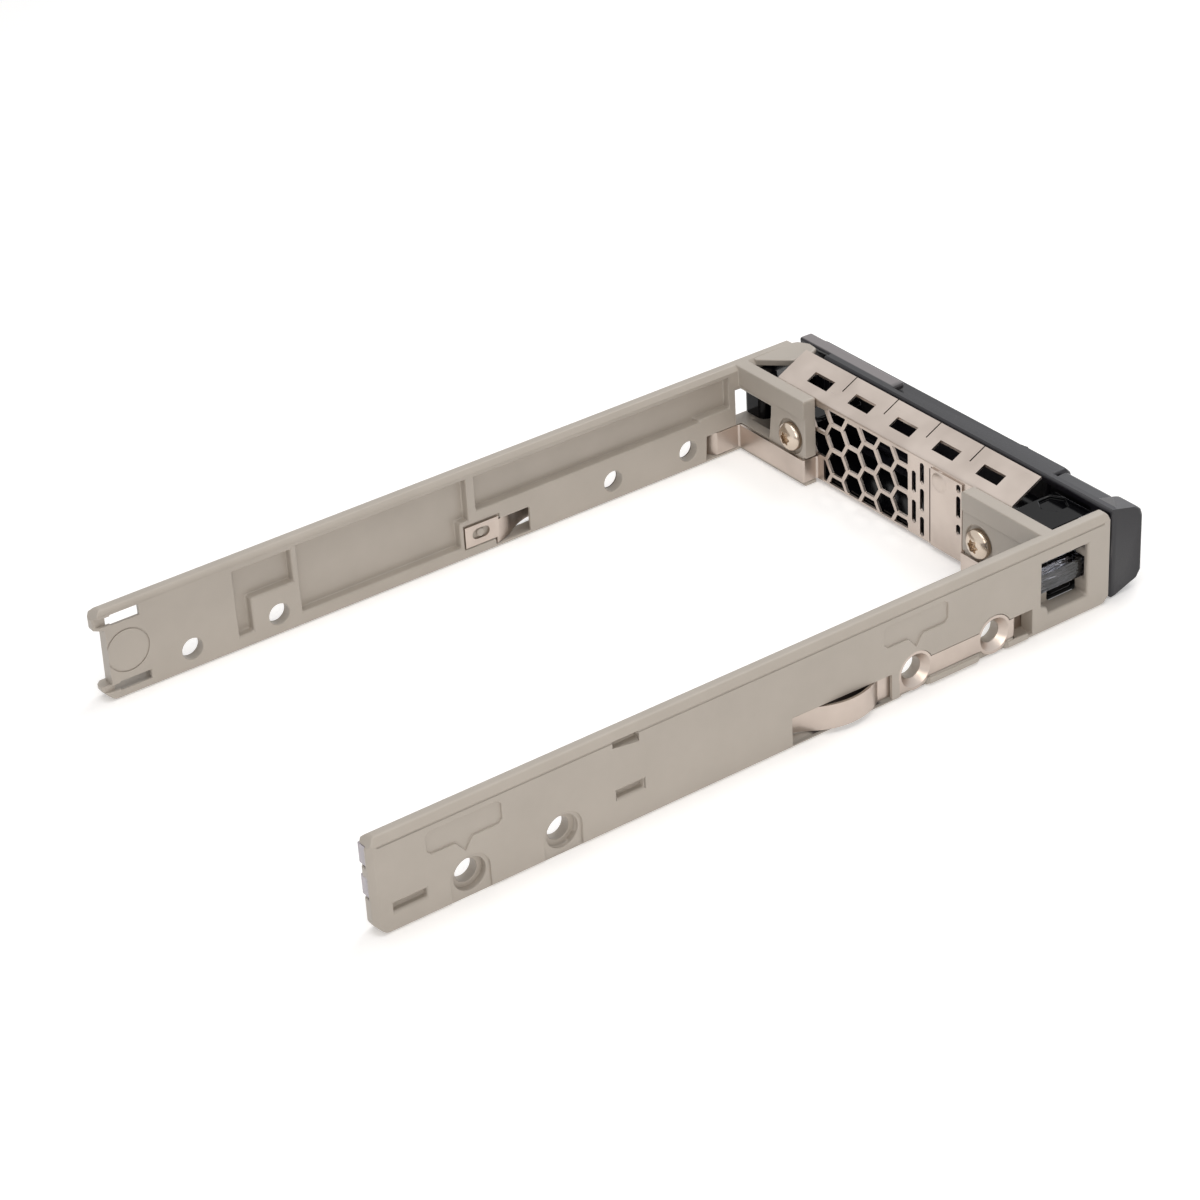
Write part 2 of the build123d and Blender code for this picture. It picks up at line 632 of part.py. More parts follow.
# Black frame: a ring behind the lever, a shelf under it, a cover over the hinge, the end
# block with the lenses, the bosses for the screws, and the housing of the button's stem
with BuildPart() as bezel_frame:
    block(bezel_left, bezel_right, bezel_back, bezel_back + bezel_wall, bezel_bottom, bezel_top)
    block(
        button_left - 0.2, bezel_right - 1.6, bezel_back - 1, bezel_back + bezel_wall + 1,
        shelf_top, bezel_top - cover_thickness - 0.2, mode=Mode.SUBTRACT,
    )
    block(housing_left, lever_right, bezel_back, lever_front, bezel_bottom, shelf_top)
    block(housing_left, bezel_right, lip_front + 0.6, bezel_back + 0.2, bezel_bottom, shelf_top)
    block(
        housing_right - 0.1, bezel_right, plate_face + sheet + 0.2, lip_front + 0.7, floor_height, shelf_top,
    )
    block(cover_left, bezel_right, bezel_back, cover_front, bezel_top - cover_thickness, bezel_top)
    block(
        bezel_right - 0.1, cover_right, ear_front + 0.15, cover_front, bezel_top - cover_thickness, bezel_top,
    )
    block(pin_x - 2.7, half_width, plate_face, ear_front + 0.15, -1, shelf_top + 1, mode=Mode.SUBTRACT)
    with BuildSketch(Plane(origin=(end_block_right, rear_y, 0), x_dir=(0, -1, 0), z_dir=(-1, 0, 0))):
        with BuildLine():
            Polyline(
                (bezel_back, bezel_bottom),
                (bezel_back + 1.1, bezel_bottom),
                (end_block_front - 0.6, bezel_bottom + 1.7),
                (end_block_front, bezel_bottom + 2.7),
                (end_block_front, bezel_top - 2.9),
                (end_block_front - 0.3, bezel_top - 2.0),
                (end_block_front - 1.2, bezel_top - 1.2),
                (bezel_back + 0.8, bezel_top),
                (bezel_back, bezel_top),
                close=True,
            )
        make_face()
    extrude(amount=end_block_width)

    # Housing of the stem, closed on top and open below, and a filler behind the near window
    block(housing_left, housing_right, housing_rear, bezel_back + 0.2, 1.2, housing_height)
    with BuildSketch(Plane.XY.offset(housing_height)):
        with Locations(at(housing_right - 2.6, bezel_back - 2.6)):
            RegularPolygon(2.3, 6, rotation=90)
    extrude(amount=-housing_wall / 2, mode=Mode.SUBTRACT)
    block(
        housing_left - filler_depth, housing_left + 0.1, plate_face + 0.4, tab_face + 7.1,
        tab_window_middle - 4.7, tab_window_middle + 3.7,
    )
    block(
        housing_left + housing_wall, housing_right - housing_wall, housing_rear + housing_wall,
        bezel_back - 1.2, -1, housing_height - 2 * housing_wall, mode=Mode.SUBTRACT,
    )
    block(
        stem_x - button_stem_half - stem_gap, stem_x + button_stem_half + stem_gap,
        bezel_back - 2, lever_front,
        mid_height - button_stem_half - stem_gap, mid_height + button_stem_half + stem_gap,
        mode=Mode.SUBTRACT,
    )
    block(
        button_left - 0.2, button_right + 0.3, bezel_back - 0.05, nose_front, shelf_top,
        bezel_top - cover_thickness - 0.2, mode=Mode.SUBTRACT,
    )

    # Shelf over the latch hook in the far corner
    block(
        bezel_right - 1.2, bezel_right, plate_face + sheet + 0.4, bezel_back + 0.2,
        hook_shelf, lever_top + 0.2,
    )
    block(
        bezel_right - 0.1, half_bay - 0.3, plate_face + sheet + 0.4, pin_forward - 2.6,
        hook_shelf, lever_top,
    )

    # Bosses for the screws, and a pocket beside the left one for the catch
    for boss_x in (-tab_screw_x, tab_screw_x):
        block(
            boss_x - boss_half, boss_x + boss_half, plate_face + sheet + fit_gap, bezel_back - 0.2,
            shelf_top - 0.3, mid_height + boss_half,
        )
        with BuildSketch(across_plane(plate_face)):
            with Locations((boss_x, mid_height)):
                Circle(screw_shank_radius + pin_clearance)
        extrude(amount=screw_length, mode=Mode.SUBTRACT)
    block(
        lever_left - 2.9, lever_left + 2.3, bezel_back - 2.2, bezel_back + bezel_wall,
        mid_height - catch_half - 0.7, mid_height + catch_half + 0.7, mode=Mode.SUBTRACT,
    )
    for low in (pipe_lower, pipe_upper):
        block(
            -half_bay - fit_gap * 2 - pipe_width + pipe_shift, -half_bay + pipe_shift, bezel_back - 1,
            nose_front, low - fit_gap, low + lens_height + fit_gap, mode=Mode.SUBTRACT,
        )
bezel_frame.part.label = "bezel_frame"

# Lever: a hollow bar with vents at the front, a grip nose, a knuckle and a latch hook
with BuildPart() as lever:
    block(lever_left, lever_right, lever_back, lever_front, lever_bottom, lever_top)
    front_right = lever.edges().filter_by(Axis.Z).group_by(Axis.X)[-1].sort_by(Axis.Y)[0]
    fillet(front_right, radius=lever_depth - 1.1)
    with BuildSketch(Plane(origin=(nose_right, rear_y, 0), x_dir=(0, -1, 0), z_dir=(-1, 0, 0))):
        with BuildLine():
            Polyline(
                (lever_back, lever_bottom),
                (lever_front + 0.3, lever_bottom),
                (nose_front - 0.4, lever_bottom + 1.2),
                (nose_front, lever_bottom + 2.6),
                (nose_front, lever_top - 2.3),
                (nose_front - 0.5, lever_top - 0.9),
                (lever_front + 0.1, lever_top),
                (lever_back, lever_top),
                close=True,
            )
        make_face()
    extrude(amount=nose_width)
    with BuildSketch(Plane.XY.offset(lever_bottom + 1.2)):
        with BuildLine():
            Polyline(
                at(nose_right - 0.1, nose_front),
                at(nose_right + nose_ramp * 0.45, nose_front - nose_proud * 0.62),
                at(nose_right + nose_ramp, lever_front),
                at(nose_right - 0.1, lever_front - 0.1),
                close=True,
            )
        make_face()
    extrude(amount=lever_top - lever_bottom - 2.1)
    block(
        lever_left + lever_shell, pin_x - 4.9, lever_back - 1, lever_front - lever_face,
        lever_bottom + lever_shell, lever_top - lever_shell, mode=Mode.SUBTRACT,
    )
    with BuildSketch(across_plane(lever_back)):
        for column in range(vent_columns):
            vent_x = nose_right + 3.6 + column * vent_pitch * 0.88
            with Locations((vent_x, lever_top - 2.9 - 0.25 * vent_pitch * (column % 2))):
                RegularPolygon(vent_radius, 6)
        area(nose_right + 1, pin_x - 8.4, mid_height, lever_top - lever_shell, mode=Mode.INTERSECT)
    extrude(amount=lever_depth + 1, mode=Mode.SUBTRACT)

    # Knuckle on the pin, and the hook that reaches back into the rail's window
    with BuildSketch(Plane.XY.offset(lever_bottom)):
        with Locations(at(pin_x, pin_forward)):
            Circle(knuckle_radius)
        area(pin_x - knuckle_radius, pin_x + knuckle_radius, rear_y - lever_back - 0.5, rear_y - pin_forward)
    extrude(amount=lever_spring_bottom - part_gap - lever_bottom)
    with BuildSketch(Plane.XY.offset(tab_window_middle - hook_half_height)) as hook:
        with BuildLine():
            Polyline(
                at(pin_x - 2.2, pin_forward - 0.4),
                at(pin_x - 1.5, pin_forward - 5.2),
                at(pin_x - 0.2, pin_forward - hook_reach),
                at(pin_x + hook_outward, pin_forward - hook_reach),
                at(pin_x + hook_outward, pin_forward - 4.2),
                at(pin_x + 2.8, pin_forward - 2.8),
                at(pin_x + 2.2, pin_forward - 0.4),
                close=True,
            )
        make_face()
        fillet(hook.vertices().sort_by(Axis.Y)[-2:], radius=1.4)
    extrude(amount=2 * hook_half_height)
    with BuildSketch():
        with Locations(at(pin_x, pin_forward)):
            Circle(pin_radius + running_gap)
    extrude(amount=rail_height, mode=Mode.SUBTRACT)

    # Catch lip that reaches back through the frame beside the button
    catch_low = mid_height - catch_half
    catch_high = mid_height + catch_half
    catch_rear = bezel_back - 1.6
    block(lever_left, lever_left + 1.6, catch_rear, lever_back + 0.5, catch_low, catch_high)
    block(lever_left - 0.9, lever_left + 0.5, catch_rear, catch_rear + 0.9, catch_low, catch_high)
lever.part.label = "lever"

with BuildPart() as hinge_pin:
    with BuildSketch(Plane.XY.offset(0.1)):
        with Locations(at(pin_x, pin_forward)):
            Circle(pin_radius)
    extrude(amount=rail_height - ear_thickness / 2 - 0.2)
hinge_pin.part.label = "hinge_pin"

# The two springs are sleeves of the size that their coils fill
with BuildPart() as lever_spring:
    with BuildSketch(Plane.XY.offset(lever_spring_bottom)):
        with Locations(at(pin_x, pin_forward)):
            Circle(pin_radius + part_gap + spring_wire * 2)
            Circle(pin_radius + part_gap, mode=Mode.SUBTRACT)
    extrude(amount=spring_length)
lever_spring.part.label = "lever_spring"

spring_radius = button_stem_half - part_gap
with BuildPart() as button_spring:
    with BuildSketch(across_plane(housing_rear + housing_wall + fit_gap)):
        with Locations((stem_x, mid_height)):
            Circle(spring_radius)
            Circle(spring_radius - spring_wire * 2, mode=Mode.SUBTRACT)
    extrude(amount=stem_rear - housing_rear - housing_wall - 2 * fit_gap)
button_spring.part.label = "button_spring"

# Button: cap, stem and the finger beside the lever's catch lip
with BuildPart() as release_button:
    block(button_left, button_right, lever_back, button_front, lever_bottom, lever_top)
    front_edges = release_button.faces().sort_by(Axis.Y)[0].edges()
    chamfer(front_edges, length=0.6)
    block(
        stem_x - button_stem_half, stem_x + button_stem_half, stem_rear, lever_back + 0.5,
        mid_height - button_stem_half, mid_height + button_stem_half,
    )
    block(lever_left - 2.7, lever_left - 1.3, bezel_back - 0.2, lever_back + 0.5, catch_low, catch_high)
release_button.part.label = "release_button"

# Light pipes: straight in the rail, then stepped inward to the lenses in the end block
pipes = {}
for name, low in (("light_pipe_lower", pipe_lower), ("light_pipe_upper", pipe_upper)):
    outer = -half_bay - fit_gap - pipe_width
    with BuildPart() as pipe:
        with BuildSketch(Plane.XY.offset(low)):
            with BuildLine():
                Polyline(
                    at(outer, 0.2),
                    at(outer, rail_length - 4.4),
                    at(outer + pipe_shift, rail_length - 2.6),
                    at(outer + pipe_shift, pipe_front),
                )
                offset(amount=pipe_width, side=Side.LEFT)
            make_face()
        extrude(amount=pipe_height)
        block(
            -half_width, pipe_shift - half_bay, rail_length + 0.2, pipe_front + 1,
            low + lens_height, rail_height, mode=Mode.SUBTRACT,
        )
    pipe.part.label = name
    pipes[name] = pipe

# Pan head screws from the bay side, through tab and shield into the bosses
with BuildPart() as tab_screws:
    head_face = tab_face + tab_screw_recess_depth - screw_head_height
    for screw_x in (-tab_screw_x, tab_screw_x):
        with BuildSketch(across_plane(head_face)):
            with Locations((screw_x, mid_height)):
                Circle(screw_head_radius)
        extrude(amount=screw_head_height)
        with BuildSketch(across_plane(tab_face)):
            with Locations((screw_x, mid_height)):
                Circle(screw_shank_radius)
        extrude(amount=screw_length)
    chamfer(tab_screws.faces().sort_by(Axis.Y)[-2:].edges(), length=screw_head_chamfer)
    with BuildSketch(across_plane(head_face)):
        with Locations((-tab_screw_x, mid_height), (tab_screw_x, mid_height)):
            RegularPolygon(star_radius, 6)
    extrude(amount=star_depth, mode=Mode.SUBTRACT)
tab_screws.part.label = "tab_screws"

pieces = [
    left_rail, right_rail, emi_shield, bezel_frame, lever, hinge_pin, lever_spring, release_button,
    button_spring, tab_screws, *pipes.values(),
]
for piece in pieces:
    export_step(piece.part, f"parts/{piece.part.label}.step")
    print(piece.part.label, round(piece.part.volume, 1), len(piece.part.solids()), piece.part.bounding_box())
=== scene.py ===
import math

import bmesh
import bpy
import numpy as np
from mathutils import Matrix, Vector
from mathutils.geometry import intersect_point_line
from mathutils.kdtree import KDTree


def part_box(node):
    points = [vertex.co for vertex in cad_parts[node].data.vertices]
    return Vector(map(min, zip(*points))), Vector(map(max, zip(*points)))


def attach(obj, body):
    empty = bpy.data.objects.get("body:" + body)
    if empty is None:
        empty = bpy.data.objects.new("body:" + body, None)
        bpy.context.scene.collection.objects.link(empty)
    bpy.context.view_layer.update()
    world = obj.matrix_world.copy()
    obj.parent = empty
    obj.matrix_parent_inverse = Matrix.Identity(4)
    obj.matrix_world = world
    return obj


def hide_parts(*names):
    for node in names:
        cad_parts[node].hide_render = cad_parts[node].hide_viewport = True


# A hot swap drive caddy: beige moulded rails, a folded stainless shield, a black bezel with
# its ejector lever. One unit is a metre, and MM turns millimetres into it.
MM = 0.001

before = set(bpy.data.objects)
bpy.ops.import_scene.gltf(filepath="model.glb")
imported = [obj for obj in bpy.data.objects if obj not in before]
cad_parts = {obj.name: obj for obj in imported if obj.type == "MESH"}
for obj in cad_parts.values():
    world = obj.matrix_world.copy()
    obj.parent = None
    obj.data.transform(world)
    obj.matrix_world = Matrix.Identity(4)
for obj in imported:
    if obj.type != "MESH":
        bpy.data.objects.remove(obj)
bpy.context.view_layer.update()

# Where the rails' rear ends stand, in mm
RAIL_REAR_Y = 68.2


def forward(distance_mm):
    """The y, in mm, of what lies that far forward of the rails' rear ends."""
    return RAIL_REAR_Y - distance_mm


# Rear of the bezel, and the rear and front face of the shield's upright plate
BEZEL_REAR_Y = forward(129.6)
PLATE_REAR_Y, PLATE_FRONT_Y = forward(119.6), forward(120.0)


# Colours and node trees


def srgb(code):
    """Linear colour of an sRGB hex code such as B3AA9D."""
    channels = [int(code[i:i + 2], 16) / 255 for i in (0, 2, 4)]
    return [c / 12.92 if c <= 0.04045 else ((c + 0.055) / 1.055) ** 2.4 for c in channels] + [1.0]


def add(tree, kind, links=None, stops=(), **settings):
    """Adds a node of that kind: its two ramp stops, its properties and values, and its linked inputs."""
    node = tree.nodes.new(kind)
    for number, (position, code) in enumerate(stops):
        element = node.color_ramp.elements[number]
        element.position = position
        element.color = srgb(code)
    for name, value in settings.items():
        if hasattr(node, name):
            setattr(node, name, value)
        else:
            node.inputs[name.replace("_", " ")].default_value = value
    for name, source in (links or {}).items():
        tree.links.new(source, node.inputs[name])
    return node


def new_material(name, **shader_values):
    """Empty material with one Principled shader, its constants set on the sockets."""
    material = bpy.data.materials.new(name)
    material.use_nodes = True
    tree = material.node_tree
    tree.nodes.clear()
    shader = add(tree, "ShaderNodeBsdfPrincipled", **shader_values)
    out = add(tree, "ShaderNodeOutputMaterial", {"Surface": shader.outputs["BSDF"]})
    place = add(tree, "ShaderNodeTexCoord").outputs["Object"]
    return material, tree, shader, out, place


def moulded_plastic(name, dark, light, roughness, grain_mm, grain_depth_mm, polished_and_shaded_behind=None):
    """Thermoplastic from a steel mould: flow mottling in the colour and a spark-eroded grain.

    Behind the given plane of y (in mm) the mould was polished, so the skin there is smooth. There it is
    also painted a darker black with a weaker mirror that gives back only what stands straight in it:
    painted shade for the dark surroundings that the inside of the carrier reflects.
    """
    mottle_mm, polish_edge_mm = 9, 0.3
    grain_strength, specular = 0.35, 0.42
    polished_strength, shaded_specular, polished_roughness = 0.03, 0.12, 0.10
    material, tree, shader, _, place = new_material(name)
    mottle = add(
        tree, "ShaderNodeTexNoise", {"Vector": place}, Scale=1 / (mottle_mm * MM), Detail=3.0, Roughness=0.6,
    )
    tint = add(
        tree, "ShaderNodeValToRGB", {"Fac": mottle.outputs["Fac"]}, stops=[(0.30, dark), (0.72, light)],
    )
    tree.links.new(tint.outputs["Color"], shader.inputs["Base Color"])
    grain = add(tree, "ShaderNodeTexNoise", {"Vector": place}, Scale=1 / (grain_mm * MM), Detail=2.0)
    sheen = add(
        tree, "ShaderNodeMapRange", {"Value": grain.outputs["Fac"]},
        To_Min=roughness - 0.05, To_Max=roughness + 0.07,
    )
    tree.links.new(sheen.outputs["Result"], shader.inputs["Roughness"])
    bump = add(
        tree, "ShaderNodeBump", {"Height": grain.outputs["Fac"]},
        Strength=grain_strength, Distance=grain_depth_mm * MM,
    )
    tree.links.new(bump.outputs["Normal"], shader.inputs["Normal"])
    if polished_and_shaded_behind is not None:
        spot = add(tree, "ShaderNodeSeparateXYZ", {"Vector": place})
        inside = add(
            tree, "ShaderNodeMapRange", {"Value": spot.outputs["Y"]},
            From_Min=polished_and_shaded_behind * MM, From_Max=(polished_and_shaded_behind + polish_edge_mm) * MM,
        ).outputs["Result"]
        # Painted shade inside: a darker black here, and below a weaker mirror, for the dark surroundings it
        # reflects
        shaded_black = add(tree, "ShaderNodeMix", {0: inside, 6: tint.outputs["Color"]}, data_type="RGBA")
        shaded_black.inputs[7].default_value = srgb("070709")
        tree.links.new(shaded_black.outputs[2], shader.inputs["Base Color"])
        smooth = add(
            tree, "ShaderNodeMapRange", {"Value": inside, "To Min": sheen.outputs["Result"]},
            To_Max=polished_roughness,
        )
        tree.links.new(smooth.outputs["Result"], shader.inputs["Roughness"])
        faint = add(tree, "ShaderNodeMapRange", {"Value": inside}, To_Min=specular, To_Max=shaded_specular)
        tree.links.new(faint.outputs["Result"], shader.inputs["Specular IOR Level"])
        flat = add(
            tree, "ShaderNodeMapRange", {"Value": inside}, To_Min=grain_strength, To_Max=polished_strength,
        )
        tree.links.new(flat.outputs["Result"], bump.inputs["Strength"])
    return material


def paint_shade_and_sheen_box(material, middle_mm, reach_mm, code):
    """Paints shade and sheen into plastics: that colour in a box about the middle, soft over the last tenth
    of its reach.

    The distance from the middle is a share of the reach on each axis, and the largest share counts.
    """
    tree = material.node_tree
    shader = next(node for node in tree.nodes if node.type == "BSDF_PRINCIPLED")
    place = next(node for node in tree.nodes if node.type == "TEX_COORD").outputs["Object"]
    tone = shader.inputs["Base Color"].links[0].from_socket
    shifted = add(tree, "ShaderNodeVectorMath", {0: place}, operation="SUBTRACT")
    shifted.inputs[1].default_value = [value * MM for value in middle_mm]
    away = add(tree, "ShaderNodeVectorMath", {0: shifted.outputs[0]}, operation="ABSOLUTE")
    shares = add(tree, "ShaderNodeVectorMath", {0: away.outputs[0]}, operation="MULTIPLY")
    shares.inputs[1].default_value = [1 / (value * MM) for value in reach_mm]
    parts = add(tree, "ShaderNodeSeparateXYZ", {0: shares.outputs[0]}).outputs
    level = add(tree, "ShaderNodeMath", {0: parts["X"], 1: parts["Y"]}, operation="MAXIMUM")
    largest = add(tree, "ShaderNodeMath", {0: level.outputs[0], 1: parts["Z"]}, operation="MAXIMUM")
    inside = add(tree, "ShaderNodeMapRange", {"Value": largest.outputs["Value"]}, From_Min=1.0, From_Max=0.9)
    mixed = add(tree, "ShaderNodeMix", {0: inside.outputs["Result"], 6: tone}, data_type="RGBA")
    mixed.inputs[7].default_value = srgb(code)
    tree.links.new(mixed.outputs[2], shader.inputs["Base Color"])


def rolled_metal(name, dark, light, roughness, line_mm, turn, depth_mm=0.002):
    """Bare sheet or bar: rolling or turning lines in one direction, and faint handling smears."""
    smear_mm, stretch = 6, 0.04
    material, tree, shader, _, place = new_material(name, Metallic=1.0)
    along = add(tree, "ShaderNodeMapping", {"Vector": place}, Rotation=turn, Scale=(stretch, 1.0, 1.0))
    lines = add(
        tree, "ShaderNodeTexNoise", {"Vector": along.outputs["Vector"]}, Scale=1 / (line_mm * MM), Detail=3.0,
    )
    smear = add(tree, "ShaderNodeTexNoise", {"Vector": place}, Scale=1 / (smear_mm * MM), Detail=2.0)
    tint = add(tree, "ShaderNodeValToRGB", {"Fac": smear.outputs["Fac"]}, stops=[(0.30, dark), (0.70, light)])
    tree.links.new(tint.outputs["Color"], shader.inputs["Base Color"])
    gloss = add(
        tree, "ShaderNodeMapRange", {"Value": lines.outputs["Fac"]},
        To_Min=roughness - 0.06, To_Max=roughness + 0.08,
    )
    tree.links.new(gloss.outputs["Result"], shader.inputs["Roughness"])
    bump = add(
        tree, "ShaderNodeBump", {"Height": lines.outputs["Fac"]}, Strength=0.25, Distance=depth_mm * MM,
    )
    tree.links.new(bump.outputs["Normal"], shader.inputs["Normal"])
    return material


def clear_polycarbonate():
    """Clear moulded pipe: pale lilac and a little milky along the rail, glossy and see-through at the bezel.

    There it shows the black that lies behind it, and a dark grey tint towards the bezel is painted shade
    that adds to that black. Sink marks from the mould, strong at the bends near the bezel, break what is
    seen through it into streaks.
    """
    flow_mm, sink_mm = 3, 1.4
    milky_y, clear_y = -34, -44
    material, tree, shader, _, place = new_material("clear_polycarbonate_moulded", IOR=1.58, Roughness=0.03)
    flow = add(tree, "ShaderNodeTexNoise", {"Vector": place}, Scale=1 / (flow_mm * MM), Detail=2.0)
    tint = add(
        tree, "ShaderNodeValToRGB", {"Fac": flow.outputs["Fac"]}, stops=[(0.3, "BDB6BD"), (0.7, "D2CBD1")],
    )
    spot = add(tree, "ShaderNodeSeparateXYZ", {"Vector": place})
    near_bezel = add(
        tree, "ShaderNodeMapRange", {"Value": spot.outputs["Y"]},
        From_Min=milky_y * MM, From_Max=clear_y * MM,
    ).outputs["Result"]
    # Painted shade: towards the bezel the tint turns dark grey, for the black seen through the pipe
    smoky_painted_shade = add(tree, "ShaderNodeMix", {0: near_bezel, 6: tint.outputs["Color"]}, data_type="RGBA")
    smoky_painted_shade.inputs[7].default_value = srgb("9698A2")
    tree.links.new(smoky_painted_shade.outputs[2], shader.inputs["Base Color"])
    clear = add(tree, "ShaderNodeMapRange", {"Value": near_bezel}, To_Min=0.30, To_Max=1.0)
    tree.links.new(clear.outputs["Result"], shader.inputs["Transmission Weight"])
    drawn = add(tree, "ShaderNodeMapping", {"Vector": place}, Scale=(1.0, 0.35, 1.6))
    sink = add(
        tree, "ShaderNodeTexNoise", {"Vector": drawn.outputs["Vector"]}, Scale=1 / (sink_mm * MM), Detail=1.0,
    )
    depth = add(tree, "ShaderNodeMapRange", {"Value": near_bezel}, To_Min=0.10, To_Max=0.8)
    bump = add(
        tree, "ShaderNodeBump", {"Height": sink.outputs["Fac"], "Strength": depth.outputs["Result"]},
        Distance=0.45 * MM,
    )
    tree.links.new(bump.outputs["Normal"], shader.inputs["Normal"])
    return material


def white_paper():
    """White paper floor: plain white to the eye, and a pale matt surface that takes the shadow."""
    fibre_mm = 40
    material, tree, shader, out, place = new_material("white_paper", Roughness=0.9)
    fibre = add(tree, "ShaderNodeTexNoise", {"Vector": place}, Scale=1 / (fibre_mm * MM), Detail=2.0)
    tint = add(
        tree, "ShaderNodeValToRGB", {"Fac": fibre.outputs["Fac"]}, stops=[(0.3, "F4F3F2"), (0.7, "F8F7F6")],
    )
    tree.links.new(tint.outputs["Color"], shader.inputs["Base Color"])
    glow = add(tree, "ShaderNodeEmission", Strength=0.25)
    mixed = add(tree, "ShaderNodeAddShader", {0: shader.outputs["BSDF"], 1: glow.outputs["Emission"]})
    tree.links.new(mixed.outputs[0], out.inputs["Surface"])
    return material


# Mineral-filled polycarbonate, moulded: warm grey beige with a satin skin that goes pale in grazing light
rail_polycarbonate = moulded_plastic("filled_polycarbonate_moulded", "AAA298", "B0A89E", 0.40, 0.22, 0.02)
# Painted shade: the cavity behind the near rail's bow spring, seen over the spring's edge, is painted brown
# black on the rail
paint_shade_and_sheen_box(rail_polycarbonate, (-36.7, forward(79.1), 3.0), (1.2, 6.5, 3.2), "453C38")
# ABS with a fine grain outside: near black, and grey where soft light grazes it; inside it's polished, and
# painted a darker black with a weaker mirror as shade
bezel_abs = moulded_plastic(
    "black_abs_grained", "131217", "19181E", 0.34, 0.30, 0.03, polished_and_shaded_behind=BEZEL_REAR_Y,
)
# Painted sheen: the front half of the thin cover strip over the hinge end is painted a lighter mauve grey,
# the grazing reflection it shows from above
paint_shade_and_sheen_box(bezel_abs, (26.3, forward(133.4), 15.2), (13.0, 2.3, 1.0), "7A7576")
button_abs = moulded_plastic("black_abs_button", "16161A", "1C1C20", 0.30, 0.30, 0.02)
# Stainless strip, cold rolled: satin, pinkish grey, with fine lines along the strip
shield_stainless = rolled_metal("stainless_strip_rolled", "BAAEA5", "C9BDB4", 0.30, 0.25, (0, 0, 0))
# Nickel plated steel: bright and a little warm
screw_nickel = rolled_metal(
    "nickel_plated_steel", "C5B6A6", "DACDBE", 0.20, 0.40, (0, 0, 1.57), depth_mm=0.001,
)
# Ground and drawn steel: cooler greys, the pin brighter than the wire
pin_ground = rolled_metal("ground_steel_pin", "A9A6A2", "C6C3BF", 0.22, 0.30, (0, 0, 0), depth_mm=0.001)
spring_wire = rolled_metal("drawn_spring_wire", "8E8A86", "B0ACA8", 0.28, 0.20, (0, 1.57, 0), depth_mm=0.001)
pipe_clear = clear_polycarbonate()


# Edges


# Faces that meet at more than SHARP make an edge to round, and those that meet at less than SMOOTH
# shade as one. A round takes OUTER of an outward edge's room and INNER of an inward one's.
SHARP, SMOOTH = math.radians(32), math.radians(40)
OUTER, INNER = 0.42, 0.20
# Spacing of the points that measure the room, the height of a step that stays sharp, and the turn, in
# radians, past which two edges aren't one line
STEP, CRISP, BEND = 0.4 * MM, 0.2 * MM, 0.3


def free_room(sharp, widest):
    """Distance from each sharp edge to the nearest one that it doesn't touch, as far as it matters."""
    samples = []
    for number, edge in sharp.items():
        start, end = (vertex.co for vertex in edge.verts)
        count = int(edge.calc_length() / STEP) + 2
        samples += [(start.lerp(end, n / (count - 1)), number) for n in range(count)]
    nearby = KDTree(len(samples))
    for mark, (point, _) in enumerate(samples):
        nearby.insert(point, mark)
    nearby.balance()
    touching = {
        number: {other.index for vertex in edge.verts for other in vertex.link_edges}
        for number, edge in sharp.items()
    }
    room = {number: widest / INNER for number in sharp}
    for point, owner in samples:
        reach = min(room[owner], widest / OUTER) + STEP
        others = {samples[mark][1] for _, mark, _ in nearby.find_range(point, reach)} - touching[owner]
        for other in others:
            start, end = (vertex.co for vertex in sharp[other].verts)
            _, along = intersect_point_line(point, start, end)
            foot = start.lerp(end, min(1.0, max(0.0, along)))
            room[owner] = min(room[owner], (point - foot).length)
    return room


def weigh_edges(form, widest):
    """Sets each sharp edge's bevel weight from the room it has: small features get a small round.

    The round's width is a share of the edge's room: OUTER for an outward edge, INNER for an inward one.
    Where it meets another edge of length L that turns away by the angle t, it's also no more than
    OUTER * L / tan(t / 2). Edges that run on into each other make one line, and the narrowest of them
    sets the whole line's width. Steps under CRISP stay sharp.
    """
    weights = form.edges.layers.float.new("bevel_weight_edge")
    sharp = {
        edge.index: edge for edge in form.edges
        if edge.is_manifold and edge.calc_face_angle(0.0) > SHARP
    }
    room = free_room(sharp, widest)
    width, line = {}, {number: number for number in sharp}

    def line_of(number):
        while line[number] != number:
            number = line[number]
        return number

    for number, edge in sharp.items():
        share = OUTER if edge.is_convex else INNER
        width[number] = min(widest, share * room[number]) if room[number] > CRISP else 0.0
        for vertex in edge.verts:
            away = (edge.other_vert(vertex).co - vertex.co).normalized()
            others = [other for other in vertex.link_edges if other is not edge and other.index in sharp]
            for other in others:
                onward = (other.other_vert(vertex).co - vertex.co).normalized()
                turn = math.pi - away.angle(onward, math.pi)
                if turn > BEND:
                    width[number] = min(width[number], OUTER * other.calc_length() / math.tan(turn / 2))
                elif len(others) == 1:
                    line[line_of(number)] = line_of(other.index)
    narrowest = {}
    for number in sharp:
        whole = line_of(number)
        narrowest[whole] = min(width[number], narrowest.get(whole, widest))
    for number, edge in sharp.items():
        edge[weights] = narrowest[line_of(number)] / widest


# Pieces


def dress(piece, body, material):
    """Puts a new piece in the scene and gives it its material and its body."""
    bpy.context.scene.collection.objects.link(piece)
    piece.data.materials.clear()
    piece.data.materials.append(material)
    with bpy.context.temp_override(object=piece, active_object=piece, selected_editable_objects=[piece]):
        bpy.ops.object.shade_smooth_by_angle(angle=SMOOTH)
    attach(piece, body)


